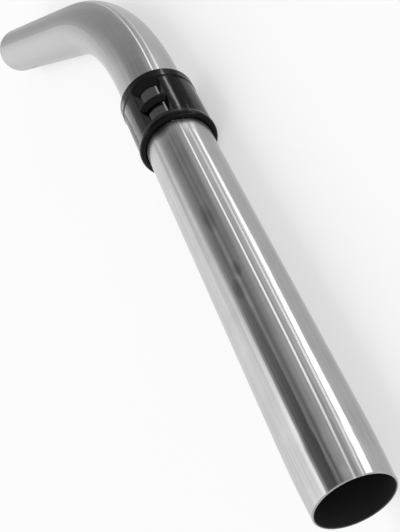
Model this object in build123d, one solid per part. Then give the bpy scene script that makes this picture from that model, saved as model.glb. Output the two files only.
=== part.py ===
from build123d import *
from math import radians, tan
import os

# A bent steel vacuum wand with a turning suction-control collar, in millimetres.
# It lies on its side: the straight run points along X, the bend turns towards +Y and Z is up.
# While it is drawn, the centre of the mouth is at the origin and the straight run lies on the X axis.

# Steel tube
tube_diameter = 32.0
tube_wall = 0.8
straight_length = 243.6
bend_radius = 198.2
bend_angle = 36.7
arm_length = 148.1

# Mouth end, drawn in so that a tool pushes over it
spigot_length = 28.0
spigot_drop = 0.8
rim_chamfer = 0.25

# Control collar
collar_start = 189.3
collar_length = 38.0
collar_wall = 2.62
running_clearance = 0.08
lip_height = 0.35
near_lip_width = 2.7
far_lip_width = 5.6
lip_ramp = 1.5
near_edge_round = 1.7
far_edge_chamfer = 0.7
bore_lead_in = 0.5

# Two flared windows in a row along the collar, sized where they meet the bore
window_count = 2
window_length = 10.7
window_width = 11.1
window_bar = 3.0
window_offset = 5.0
window_angle = 135.3
window_side_flare = 58.6
window_far_ramp = 53.0
window_bar_draft = 26.5
window_near_draft = 3.2

# The collar's turn, and the peg that holds it along the tube
turn_range = 60.0
peg_diameter = 4.0
peg_clearance = 0.2
peg_end_gap = 0.1

# Bleed slots in the tube, smaller than the windows, under plain collar wall until it is turned
bleed_margin = 1.2
bleed_corner_round = 1.5

tube_radius = tube_diameter / 2
tube_bore_radius = tube_radius - tube_wall
collar_bore_radius = tube_radius + running_clearance
collar_radius = collar_bore_radius + collar_wall
lip_radius = collar_radius + lip_height
collar_end = collar_start + collar_length
window_pitch = window_length + window_bar
window_starts = [collar_start + window_offset + i * window_pitch for i in range(window_count)]
peg_place = collar_start + collar_length / 2
peg_angle = window_angle + 180


def radial_plane(x, angle, height=0):
    """Plane across a radius of the straight run, at a height above its axis, with x along the run."""
    outward = Vector(0, 1, 0).rotate(Axis.X, angle)
    return Plane(origin=Vector(x, 0, 0) + outward * height, x_dir=(1, 0, 0), z_dir=outward)


def corner_of(outline, point):
    """The outline's corner at a point."""
    return outline.vertices().sort_by_distance(point)[0]


def straight_run():
    """The straight run with its drawn-in mouth and smoothed rim."""
    mouth_radius = tube_radius - spigot_drop
    outer_rim = (0, mouth_radius)
    inner_rim = (0, mouth_radius - tube_wall)
    outer_shoulder = (spigot_length, tube_radius)
    inner_shoulder = (spigot_length, tube_bore_radius)
    outline = make_face([
        Line(inner_rim, outer_rim),
        TangentArc(outer_shoulder, outer_rim, tangent=(-1, 0)),
        Polyline(
            outer_shoulder,
            (straight_length, tube_radius),
            (straight_length, tube_bore_radius),
            inner_shoulder,
        ),
        TangentArc(inner_shoulder, inner_rim, tangent=(-1, 0)),
    ])
    rim = [corner_of(outline, outer_rim), corner_of(outline, inner_rim)]
    return revolve(chamfer(rim, rim_chamfer), Axis.X)


def bend_and_arm():
    """The bend and the arm beyond it, which ends in a plain cut."""
    section = Plane(origin=(straight_length, 0, 0), z_dir=(1, 0, 0))
    ring = section * (Circle(tube_radius) - Circle(tube_bore_radius))
    bend_axis = Axis((straight_length, bend_radius, 0), (0, 0, 1))
    bend = revolve(ring, bend_axis, bend_angle)
    arm = extrude(ring, amount=arm_length, dir=(1, 0, 0)).rotate(bend_axis, bend_angle)
    return bend + arm


def bleed_slots():
    """Cutters for the bleed slots, which the windows meet when the collar is fully turned."""
    length = window_length - 2 * bleed_margin
    width = window_width - 2 * bleed_margin
    outline = RectangleRounded(length, width, bleed_corner_round)
    for start in window_starts:
        plane = radial_plane(start + window_length / 2, window_angle - turn_range)
        yield extrude(plane * outline, amount=lip_radius)


def guide_slot():
    """Cutter for the slot that the peg runs in, round at both ends."""
    slot_radius = peg_diameter / 2 + peg_clearance
    band = make_face(Polyline(
        (peg_place - slot_radius, 0),
        (peg_place + slot_radius, 0),
        (peg_place + slot_radius, lip_radius),
        (peg_place - slot_radius, lip_radius),
        close=True,
    ))
    cutter = revolve(band.rotate(Axis.X, peg_angle - turn_range), Axis.X, turn_range)
    for angle in (peg_angle - turn_range, peg_angle):
        cutter += extrude(radial_plane(peg_place, angle) * Circle(slot_radius), amount=lip_radius)
    return cutter


def make_wand_tube():
    tube = straight_run() + bend_and_arm()
    for cutter in bleed_slots():
        tube -= cutter
    return tube - guide_slot()


def collar_ring():
    """The collar's turned form: a plain body between two raised lips."""
    near_edge = (collar_start, lip_radius)
    far_edge = (collar_end, lip_radius)
    near_lip_end = collar_start + near_lip_width
    far_lip_start = collar_end - far_lip_width
    outline = make_face(Polyline(
        (collar_start, collar_bore_radius + bore_lead_in),
        near_edge,
        (near_lip_end, lip_radius),
        (near_lip_end + lip_ramp, collar_radius),
        (far_lip_start - lip_ramp, collar_radius),
        (far_lip_start, lip_radius),
        far_edge,
        (collar_end, collar_bore_radius + bore_lead_in),
        (collar_end - bore_lead_in, collar_bore_radius),
        (collar_start + bore_lead_in, collar_bore_radius),
        close=True,
    ))
    outline = fillet(corner_of(outline, near_edge), near_edge_round)
    outline = chamfer(corner_of(outline, far_edge), far_edge_chamfer)
    return revolve(outline, Axis.X)


def window_cutter(start, far_slope):
    """A funnel through the collar wall: a steep near end, a sloped far end and sides that open out."""
    outward = Vector(0, 1, 0).rotate(Axis.X, window_angle)
    along = Vector(1, 0, 0)
    lengthwise = Plane(origin=along * start, x_dir=along, z_dir=along.cross(outward))
    crosswise = Plane(origin=along * start, x_dir=outward.cross(along), z_dir=along)
    low, high = tube_bore_radius, lip_radius + running_clearance

    def spread(height, slope):
        return (height - collar_bore_radius) * tan(radians(slope))

    side_view = make_face(Polyline(
        (-spread(low, window_near_draft), low),
        (window_length + spread(low, far_slope), low),
        (window_length + spread(high, far_slope), high),
        (-spread(high, window_near_draft), high),
        close=True,
    ))
    half_low = window_width / 2 + spread(low, window_side_flare)
    half_high = window_width / 2 + spread(high, window_side_flare)
    end_view = make_face(Polyline(
        (-half_low, low),
        (half_low, low),
        (half_high, high),
        (-half_high, high),
        close=True,
    ))
    slab = extrude(lengthwise * side_view, amount=lip_radius, both=True)
    return slab & extrude(crosswise * end_view, amount=collar_length, both=True)


def peg():
    """The short round peg on the collar's bore, reaching into the tube's guide slot."""
    tip = tube_bore_radius + peg_end_gap
    root = (collar_bore_radius + collar_radius) / 2
    plane = radial_plane(peg_place, peg_angle, tip)
    return extrude(plane * Circle(peg_diameter / 2), amount=root - tip)


def make_control_collar():
    collar = collar_ring()
    far_slopes = [window_bar_draft] * (window_count - 1) + [window_far_ramp]
    for start, far_slope in zip(window_starts, far_slopes):
        collar -= window_cutter(start, far_slope)
    return collar + peg()


pieces = {
    "wand_tube": make_wand_tube(),
    "control_collar": make_control_collar(),
}

# The finished part lies with the middle of its footprint at the origin
whole = Compound(list(pieces.values())).bounding_box()
middle = whole.center()
os.makedirs("parts", exist_ok=True)
for name, piece in pieces.items():
    export_step(Pos(-middle.X, -middle.Y, -whole.min.Z) * piece, f"parts/{name}.step")
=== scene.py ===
from math import cos, pi, radians

import bpy
from mathutils import Matrix, Vector

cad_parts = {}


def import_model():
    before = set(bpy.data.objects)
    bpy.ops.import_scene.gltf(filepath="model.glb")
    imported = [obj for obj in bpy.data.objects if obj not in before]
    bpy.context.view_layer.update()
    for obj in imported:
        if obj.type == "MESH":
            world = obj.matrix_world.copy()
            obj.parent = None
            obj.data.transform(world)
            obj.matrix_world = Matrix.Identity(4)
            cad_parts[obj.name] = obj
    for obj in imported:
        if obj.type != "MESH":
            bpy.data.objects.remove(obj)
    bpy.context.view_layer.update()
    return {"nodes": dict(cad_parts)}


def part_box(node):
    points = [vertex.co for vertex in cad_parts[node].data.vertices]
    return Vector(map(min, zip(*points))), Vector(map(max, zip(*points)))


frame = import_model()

# The tube's path: a straight run along X, a bend towards +Y and a straight arm
straight_length = 0.2436
bend_radius = 0.1982
bend_angle = radians(36.7)
arm_length = 0.1481
tube_length = straight_length + bend_radius * bend_angle + arm_length

tube_low, tube_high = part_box("wand_tube")
collar_low, collar_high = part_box("control_collar")
axis_y = (collar_low[1] + collar_high[1]) / 2
axis_z = (collar_low[2] + collar_high[2]) / 2
mouth_x = tube_low[0]
bend_x = mouth_x + straight_length
tube_radius = tube_high[2] - axis_z
arm_y = tube_high[1] - tube_radius * cos(bend_angle)
collar_half = (collar_high[0] - collar_low[0]) / 2
collar_middle = collar_low[0] + collar_half - mouth_x

# Steel: drawn lines along the tube and cloudy patches, clearest on the straight run; (place, level) stops
steel_shade = 0.42
# painted shade: the steel darker round the bend
bend_painted_shade_path = [(0.2186, 1.0), (0.2936, 0.84), (0.3236, 0.86), (0.3736, 0.98)]
line_scale = 1500.0
line_stretch = 0.010
line_shade = 0.18
patch_scale = 70.0
patch_shade = 0.12
steel_detail = 4.0
texture_path = [(0.2036, 1.0), (0.3036, 0.3)]
steel_roughness = 0.05
patch_roughness = 0.06
roughness_path = [(0.0, 0.0), (0.2036, 0.04), (0.2736, 0.14), (0.3686, 0.24)]
line_bump = 0.12
line_depth = 0.0002
# Painted shade inside the tube: a dark, rough lining
inside_painted_shade = 0.09
inside_roughness = 0.6

# Marks on the steel, smudges and, in front of the collar's lip, a painted shade: place, angle, half length,
# half width and change of shade
smudges_and_painted_shade = [
    (0.1255, 133.0, 0.0090, 0.0030, -0.70),
    (0.0950, 138.0, 0.0050, 0.0020, -0.65),
    (0.0860, 128.0, 0.0060, 0.0024, -0.50),
    (0.0032, 147.0, 0.0030, 0.0016, 0.45),
    (0.0920, 134.4, 0.0500, 0.0010, 0.85),
    (0.1500, 109.4, 0.0700, 0.0010, 0.25),
    (0.1700, 104.0, 0.0600, 0.0012, -0.20),
    # painted shade in front of the collar's near lip
    (0.1878, 124.0, 0.0048, 0.0055, -1.10),
]
oval_mark_fade = [(0.0, 1.0), (0.25, 0.85), (1.0, 0.0)]

# Painted reflection: two fine bright lines with a darker band between, laid where the studio's lines
# reflect, as shares of a reach on each side of its middle
painted_lines_path = [(0.0, 160.3), (0.03, 162.05), (0.06, 163.2), (0.12, 163.9), (0.18, 164.0), (0.26, 164.8)]
painted_lines_reach = 20.0
painted_lines_profile = [(0.19, 0.0), (0.225, 1.0), (0.325, 1.0), (0.36, 0.0)]
painted_band_profile = [(0.15, 1.0), (0.22, 0.0)]
painted_lines_strength = [(0.0086, 0.6), (0.0386, 0.9), (0.0686, 1.0), (0.2436, 1.0), (0.3036, 0.55)]
painted_upper_line_shade = 1.0
painted_lower_line_shade = 0.63
painted_lines_roughness = 0.5
painted_band_darkening = 0.14

# Steel under the collar darkened as painted shade, with a pale painted highlight line that shows through the
# windows
under_collar_painted_shade = 0.67
# painted highlight line: its angle, width and shade
painted_glint_angle = 150.6
painted_glint_width = 3.0
painted_glint_shade = 0.5

# Haze on the steel just in front of the collar
haze_path = [(0.1766, 0.0), (0.1876, 1.0), (0.1936, 1.0), (0.1986, 0.0)]
haze_roughness = 0.2
haze_share = 0.14
haze_over_painted_lines = 0.8

# Plastic of the collar: black, glossy and slightly uneven, with softened edges
plastic_shade = 0.002
plastic_shade_range = 0.003
plastic_roughness = 0.08
plastic_roughness_range = 0.08
plastic_ior = 1.23
plastic_patch_scale = 220.0
plastic_detail = 3.0
plastic_bump = 0.3
plastic_depth = 0.0003
edge_softness = 0.0006
edge_samples = 8

# Camera, with the lens axis above the middle of the picture
photo_height = 532
sensor_size = 36.0
focal_pixels = 950.6
lens_axis_row = 150
camera_place = (-0.38458, -0.29890, 0.19713)
camera_heading = radians(36.116)
camera_dip = radians(24.892)
camera_roll = radians(-87.318)

# Floor
floor_size = 12.0
floor_gap = 0.0001
floor_albedo = 0.55
floor_grain = 0.02
floor_grain_scale = 3.0
floor_lift = 0.52

# Low cards: radiance, and corners as places along the straight run and distances to the camera's side of it
low_cards = {
    "white_card": (2.6, [
        (-0.010, 0.043), (0.060, 0.042), (0.130, 0.038), (0.200, 0.041), (0.235, 0.041),
        (0.235, 0.052), (0.200, 0.052), (0.130, 0.060), (0.060, 0.085), (-0.010, 0.115),
    ]),
    "rear_card": (0.45, [(0.470, -0.160), (1.600, -0.160), (1.600, 0.150), (0.470, 0.150)]),
    "dark_card": (0.35, [
        (0.213, 0.026), (0.250, 0.026), (0.272, 0.050), (0.300, 0.080), (0.268, 0.080), (0.238, 0.050),
    ]),
}
card_clearance = 0.0005

# Upright lamp beside the collar: its ends along the tube, distance from the axis, middle above the floor
lamp_start = 0.274
lamp_end = 0.314
lamp_side = 0.085
lamp_lift = 0.0095
lamp_height = 0.010
lamp_radiance = 8.5

# Soft light on the collar's other flank: its place from the mouth's centre, size and slant
flank_place = (0.322, 0.080, 0.078)
flank_size = (0.048, 0.084)
flank_slant = radians(31.5)
flank_radiance = 1.6

# Soft boxes of the studio as bands along the wand, (angle, level), in the directions beside and ahead of it
near_bands = [
    (0, 1.15), (18, 1.2), (42, 1.45), (72, 1.45), (78, 1.6), (82, 1.9), (85.5, 1.9), (89.5, 0.95),
    (93.5, 0.42), (99, 0.2), (104, 0.17), (112, 0.17), (119, 0.13), (123.5, 0.14), (127.5, 0.44), (130, 0.4),
    (133, 0.26), (137, 0.2), (141, 0.42), (144, 0.54), (152, 0.6), (160, 0.7), (165, 0.68), (180, 0.72),
]
far_bands = [
    (0, 1.13), (18, 1.17), (44, 1.32), (50, 1.33), (63, 1.05), (69, 0.98), (76, 1.15), (80, 1.0),
    (84, 0.8), (91, 0.58), (99, 0.47), (107, 0.4), (115, 0.32), (124, 0.41), (132, 0.3), (139, 0.38),
    (147, 0.33), (153, 0.38), (160, 0.62), (166, 0.7), (180, 0.7),
]

# Plain ends of the studio, and where each part takes over, from 0 straight behind to 1 straight ahead
end_level = 0.56
rear_level = 0.8
far_share = [(0.75, 0.0), (0.85, 1.0)]
end_share = [(0.875, 0.0), (0.94, 1.0)]
rear_share = [(0.30, 1.0), (0.45, 0.0)]


def link(tree, value, socket):
    """Feeds a node's input with another node's output or with a plain value."""
    if isinstance(value, bpy.types.NodeSocket):
        tree.links.new(value, socket)
    else:
        socket.default_value = value


def maths(tree, operation, *values):
    """Output of a math node."""
    node = tree.nodes.new("ShaderNodeMath")
    node.operation = operation
    for value, socket in zip(values, node.inputs):
        link(tree, value, socket)
    return node.outputs[0]


def ramp(tree, value, stops):
    """Output of a grey colour ramp with (position, level) stops."""
    node = tree.nodes.new("ShaderNodeValToRGB")
    link(tree, value, node.inputs[0])
    elements = node.color_ramp.elements
    while len(elements) < len(stops):
        elements.new(1.0)
    for element, (position, level) in zip(elements, stops):
        element.position = position
        element.color = (level, level, level, 1)
    return node.outputs[0]


def grey(tree, level):
    """A level from 0 to 1 as a grey colour."""
    return ramp(tree, level, [(0.0, 0.0), (1.0, 1.0)])


def along_tube(tree, place, stops):
    """Level at a place on the tube, from (place, level) stops."""
    share = maths(tree, "DIVIDE", place, tube_length)
    return ramp(tree, share, [(distance / tube_length, level) for distance, level in stops])


def noise(tree, vector, scale, detail=2.0):
    """Output of a noise texture, 0 to 1."""
    node = tree.nodes.new("ShaderNodeTexNoise")
    tree.links.new(vector, node.inputs["Vector"])
    node.inputs["Scale"].default_value = scale
    node.inputs["Detail"].default_value = detail
    return node.outputs[0]


def bump(tree, height, strength, depth):
    """A bump node for a height from 0 to 1."""
    node = tree.nodes.new("ShaderNodeBump")
    node.inputs["Strength"].default_value = strength
    node.inputs["Distance"].default_value = depth
    tree.links.new(height, node.inputs["Height"])
    return node


def combine(tree, x, y, z):
    """A vector from three values."""
    node = tree.nodes.new("ShaderNodeCombineXYZ")
    for value, socket in zip((x, y, z), node.inputs):
        link(tree, value, socket)
    return node.outputs[0]


def blend(tree, share, first, second):
    """Mix of two levels, from all first at share 0 to all second at share 1."""
    node = tree.nodes.new("ShaderNodeMix")
    node.data_type = "FLOAT"
    for value, socket in zip((share, first, second), (node.inputs[0], node.inputs[2], node.inputs[3])):
        link(tree, value, socket)
    return node.outputs[0]


def lessen(tree, level, share, loss):
    """A level with a part of it taken away, from none at share 0 to the whole loss at share 1."""
    return maths(tree, "MULTIPLY", level, maths(tree, "MULTIPLY_ADD", share, -loss, 1.0))


def coordinates(tree, kind):
    """One of the coordinates that a texture can be laid out in."""
    return tree.nodes.new("ShaderNodeTexCoord").outputs[kind]


def axes(tree, kind):
    """X, Y and Z of a coordinate."""
    split = tree.nodes.new("ShaderNodeSeparateXYZ")
    tree.links.new(coordinates(tree, kind), split.inputs[0])
    return split.outputs


def tube_coordinates(tree):
    """Place in the section, distance past the bend's start and how far a face looks away from the axis."""
    x, y, z = axes(tree, "Object")
    normal_x, normal_y, normal_z = axes(tree, "Normal")
    along = maths(tree, "SUBTRACT", x, bend_x)
    side = maths(tree, "SUBTRACT", y, axis_y)
    up = maths(tree, "SUBTRACT", z, axis_z)
    inward = maths(tree, "SUBTRACT", bend_radius, side)
    turned = maths(tree, "ARCTAN2", along, inward)
    turned = maths(tree, "MINIMUM", maths(tree, "MAXIMUM", turned, 0.0), bend_angle)
    sine = maths(tree, "SINE", turned)
    cosine = maths(tree, "COSINE", turned)
    section = maths(tree, "SUBTRACT", bend_radius, maths(tree, "MULTIPLY", inward, cosine))
    section = maths(tree, "SUBTRACT", section, maths(tree, "MULTIPLY", along, sine))
    run = maths(tree, "MULTIPLY_ADD", along, cosine, maths(tree, "MULTIPLY", turned, bend_radius))
    run = maths(tree, "SUBTRACT", run, maths(tree, "MULTIPLY", inward, sine))
    normal_side = maths(tree, "MULTIPLY", normal_y, cosine)
    normal_side = maths(tree, "SUBTRACT", normal_side, maths(tree, "MULTIPLY", normal_x, sine))
    facing = maths(tree, "MULTIPLY_ADD", section, normal_side, maths(tree, "MULTIPLY", up, normal_z))
    return section, up, run, facing


def oval_mark(tree, place, turn, middle, angle, half_length, half_width):
    """Share of a soft oval mark."""
    along = maths(tree, "DIVIDE", maths(tree, "SUBTRACT", place, middle), half_length)
    across = maths(tree, "DIVIDE", maths(tree, "SUBTRACT", turn, radians(angle)), half_width / tube_radius)
    away = maths(tree, "ADD", maths(tree, "POWER", along, 2.0), maths(tree, "POWER", across, 2.0))
    return ramp(tree, away, oval_mark_fade)


def painted_reflection(tree, place, turn):
    """Shares of the painted reflection's darker band, of its bright lines and of its upper side."""
    half_turn = maths(tree, "DIVIDE", turn, pi)
    middle = along_tube(tree, place, [(distance, angle / 180) for distance, angle in painted_lines_path])
    offset = maths(tree, "ABSOLUTE", maths(tree, "SUBTRACT", half_turn, middle))
    offset = maths(tree, "MULTIPLY", offset, 180 / painted_lines_reach)
    lines = maths(tree, "MULTIPLY", ramp(tree, offset, painted_lines_profile), along_tube(tree, place, painted_lines_strength))
    return ramp(tree, offset, painted_band_profile), lines, maths(tree, "LESS_THAN", half_turn, middle)


def new_material(name):
    """A named material, its node tree and its surface shader."""
    material = bpy.data.materials.new(name)
    material.use_nodes = True
    return material, material.node_tree, material.node_tree.nodes["Principled BSDF"]


def steel():
    """Polished steel with drawn lines and marks, rougher past the collar, with painted reflection lines, a
    painted highlight line under the collar and painted shade round the bend, under the collar and inside.
    """
    material, tree, shader = new_material("polished_steel")
    section, up, run, facing = tube_coordinates(tree)
    turn = maths(tree, "ARCTAN2", up, section)
    place = maths(tree, "ADD", run, straight_length)
    inside = maths(tree, "LESS_THAN", facing, -tube_radius / 2)
    covered = maths(tree, "COMPARE", place, collar_middle, collar_half)
    haze = along_tube(tree, place, haze_path)
    painted_band_share, painted_line_share, upper = painted_reflection(tree, place, turn)
    painted_line_share = lessen(tree, painted_line_share, haze, haze_over_painted_lines)
    # painted highlight: a pale, non-metal line on the steel that shows through the collar's windows
    painted_glint_share = maths(tree, "COMPARE", turn, radians(painted_glint_angle), radians(painted_glint_width / 2))
    painted_glint_share = maths(tree, "MULTIPLY", painted_glint_share, covered)

    stretched = maths(tree, "MULTIPLY", run, line_stretch)
    lines = noise(tree, combine(tree, section, up, stretched), line_scale, steel_detail)
    patches = noise(tree, combine(tree, section, up, run), patch_scale, steel_detail)
    texture = along_tube(tree, place, texture_path)
    line_part = maths(tree, "MULTIPLY", maths(tree, "SUBTRACT", lines, 0.5), texture)
    patch_part = maths(tree, "MULTIPLY", maths(tree, "SUBTRACT", patches, 0.5), texture)
    shade = maths(tree, "MULTIPLY_ADD", patch_part, patch_shade, steel_shade)
    shade = maths(tree, "MULTIPLY_ADD", line_part, line_shade, shade)
    # painted shade round the bend
    shade = maths(tree, "MULTIPLY", shade, along_tube(tree, place, bend_painted_shade_path))
    # painted shade on the steel under the collar
    shade = lessen(tree, shade, covered, under_collar_painted_shade)
    for middle, angle, half_length, half_width, change in smudges_and_painted_shade:
        mark = oval_mark(tree, place, turn, middle, angle, half_length, half_width)
        shade = lessen(tree, shade, maths(tree, "MULTIPLY", mark, patches), -change)
    # painted reflection: a darker band between two bright lines
    shade = lessen(tree, shade, painted_band_share, painted_band_darkening)
    shade = blend(tree, painted_line_share, shade, blend(tree, upper, painted_lower_line_shade, painted_upper_line_shade))
    shade = blend(tree, painted_glint_share, shade, painted_glint_shade)
    # painted shade inside the tube
    shade = blend(tree, inside, shade, inside_painted_shade)
    tree.links.new(grey(tree, shade), shader.inputs["Base Color"])

    roughness = maths(tree, "ADD", along_tube(tree, place, roughness_path), steel_roughness)
    roughness = maths(tree, "MULTIPLY_ADD", patches, patch_roughness, roughness)
    roughness = maths(tree, "MULTIPLY_ADD", haze, haze_roughness, roughness)
    roughness = blend(tree, painted_line_share, roughness, painted_lines_roughness)
    roughness = blend(tree, inside, roughness, inside_roughness)
    tree.links.new(roughness, shader.inputs["Roughness"])

    glint_free_share = maths(tree, "SUBTRACT", 1.0, painted_glint_share)
    tree.links.new(lessen(tree, glint_free_share, haze, haze_share), shader.inputs["Metallic"])
    tree.links.new(bump(tree, lines, line_bump, line_depth).outputs[0], shader.inputs["Normal"])
    return material


def plastic():
    """Glossy black moulded plastic with soft edges and slight unevenness in its shine."""
    material, tree, shader = new_material("black_plastic")
    patches = noise(tree, coordinates(tree, "Object"), plastic_patch_scale, plastic_detail)
    shade = maths(tree, "MULTIPLY_ADD", patches, plastic_shade_range, plastic_shade)
    tree.links.new(grey(tree, shade), shader.inputs["Base Color"])
    roughness = maths(tree, "MULTIPLY_ADD", patches, plastic_roughness_range, plastic_roughness)
    tree.links.new(roughness, shader.inputs["Roughness"])
    shader.inputs["IOR"].default_value = plastic_ior
    edges = tree.nodes.new("ShaderNodeBevel")
    edges.samples = edge_samples
    edges.inputs["Radius"].default_value = edge_softness
    uneven = bump(tree, patches, plastic_bump, plastic_depth)
    tree.links.new(edges.outputs[0], uneven.inputs["Normal"])
    tree.links.new(uneven.outputs[0], shader.inputs["Normal"])
    return material


def paint(node, material):
    """Gives a CAD node its material."""
    slots = frame["nodes"][node].data.materials
    slots.clear()
    slots.append(material)


def rest_plane():
    """The plane that the wand rests on: under both of the collar's lips and the arm's end."""
    lip = Vector((collar_low[0], axis_y, collar_low[2]))
    arm = Vector((tube_high[0], arm_y, tube_low[2]))
    return lip, Vector((1, 0, 0)).cross(arm - lip).normalized()


def floor_material():
    """Pale floor that keeps the wand's shadow."""
    material, tree, shader = new_material("pale_floor")
    grain = noise(tree, coordinates(tree, "Object"), floor_grain_scale)
    shade = maths(tree, "MULTIPLY_ADD", grain, floor_grain, floor_albedo - floor_grain / 2)
    tree.links.new(grey(tree, shade), shader.inputs["Base Color"])
    shader.inputs["Roughness"].default_value = 1.0
    shader.inputs["Specular IOR Level"].default_value = 0.0
    path = tree.nodes.new("ShaderNodeLightPath").outputs
    seen = maths(tree, "MAXIMUM", path["Is Camera Ray"], path["Is Glossy Ray"])
    seen = maths(tree, "MAXIMUM", seen, path["Is Transmission Ray"])
    shader.inputs["Emission Color"].default_value = (1, 1, 1, 1)
    tree.links.new(maths(tree, "MULTIPLY", seen, floor_lift), shader.inputs["Emission Strength"])
    return material


def floor():
    """The studio floor, just touching what the wand rests on."""
    place, normal = rest_plane()
    half = floor_size / 2
    mesh = bpy.data.meshes.new("floor")
    corners = [(-half, -half, 0), (half, -half, 0), (half, half, 0), (-half, half, 0)]
    mesh.from_pydata(corners, [], [(0, 1, 2, 3)])
    piece = bpy.data.objects.new("floor", mesh)
    bpy.context.collection.objects.link(piece)
    piece.location = place - normal * floor_gap
    piece.rotation_euler = normal.to_track_quat("Z", "Y").to_euler()
    mesh.materials.append(floor_material())


def world():
    """Soft boxes as bands that run along the wand, by the angle round its straight run."""
    studio = bpy.data.worlds.new("studio")
    bpy.context.scene.world = studio
    studio.use_nodes = True
    tree = studio.node_tree
    x, y, z = axes(tree, "Generated")
    half_turn = maths(tree, "DIVIDE", maths(tree, "ARCTAN2", z, y), pi)
    near = ramp(tree, half_turn, [(angle / 180, level) for angle, level in near_bands])
    far = ramp(tree, half_turn, [(angle / 180, level) for angle, level in far_bands])
    ahead = maths(tree, "MULTIPLY_ADD", x, 0.5, 0.5)
    light = blend(tree, ramp(tree, ahead, far_share), near, far)
    light = blend(tree, ramp(tree, ahead, end_share), light, end_level)
    light = blend(tree, ramp(tree, ahead, rear_share), light, rear_level)
    tree.links.new(light, tree.nodes["Background"].inputs["Color"])


def on_floor(along, side):
    """A point just above the floor, from its place along the straight run and its distance beside it."""
    place, normal = rest_plane()
    x = mouth_x + along
    y = axis_y - side
    drop = (normal.x * (x - place.x) + normal.y * (y - place.y)) / normal.z
    return Vector((x, y, place.z - drop + card_clearance))


def low_card(name, radiance, corners):
    """A card that lies low beside the straight run and shows only in reflections."""
    mesh = bpy.data.meshes.new(name)
    mesh.from_pydata([on_floor(along, side) for along, side in corners], [], [range(len(corners))])
    material, tree, shader = new_material(name)
    shader.inputs["Base Color"].default_value = (0, 0, 0, 1)
    shader.inputs["Emission Color"].default_value = (1, 1, 1, 1)
    shader.inputs["Emission Strength"].default_value = radiance
    mesh.materials.append(material)
    card = bpy.data.objects.new(name, mesh)
    bpy.context.collection.objects.link(card)
    card.visible_camera = False
    card.visible_diffuse = False
    card.visible_shadow = False


def lamp(name, size, radiance, place, rotation, nodes):
    """A rectangular lamp that lights some CAD nodes alone, so that it leaves no patch on the floor."""
    data = bpy.data.lights.new(name, "AREA")
    data.shape = "RECTANGLE"
    data.size, data.size_y = size
    data.energy = radiance * pi * data.size * data.size_y
    piece = bpy.data.objects.new(name, data)
    bpy.context.collection.objects.link(piece)
    piece.location = place
    piece.rotation_euler = rotation
    piece.visible_camera = False
    lit = bpy.data.collections.new(f"lit_by_{name}")
    for node in nodes:
        lit.objects.link(frame["nodes"][node])
    piece.light_linking.receiver_collection = lit


def collar_lamps():
    """A strip on the camera's side that draws the collar's highlight, and a soft light on its far flank."""
    size = (lamp_end - lamp_start, lamp_height)
    place = on_floor((lamp_start + lamp_end) / 2, lamp_side) + Vector((0, 0, lamp_lift))
    lamp("collar_lamp", size, lamp_radiance, place, (pi / 2, 0, 0), ["wand_tube", "control_collar"])
    place = Vector((mouth_x, axis_y, axis_z)) + Vector(flank_place)
    lamp("flank_light", flank_size, flank_radiance, place, (-pi / 2, flank_slant, 0), ["control_collar"])


def camera():
    """The photograph's viewpoint, turned to the upright picture."""
    data = bpy.data.cameras.new("camera")
    data.sensor_width = sensor_size
    data.lens = focal_pixels * sensor_size / photo_height
    data.shift_y = (lens_axis_row - photo_height / 2) / photo_height
    eye = bpy.data.objects.new("camera", data)
    bpy.context.collection.objects.link(eye)
    aim = Matrix.Rotation(camera_heading - pi / 2, 4, "Z") @ Matrix.Rotation(pi / 2 - camera_dip, 4, "X")
    eye.matrix_world = Matrix.Translation(camera_place) @ aim @ Matrix.Rotation(camera_roll, 4, "Z")
    bpy.context.scene.camera = eye


bpy.context.scene.view_settings.view_transform = "Standard"
paint("wand_tube", steel())
paint("control_collar", plastic())
floor()
world()
for name, (radiance, corners) in low_cards.items():
    low_card(name, radiance, corners)
collar_lamps()
camera()
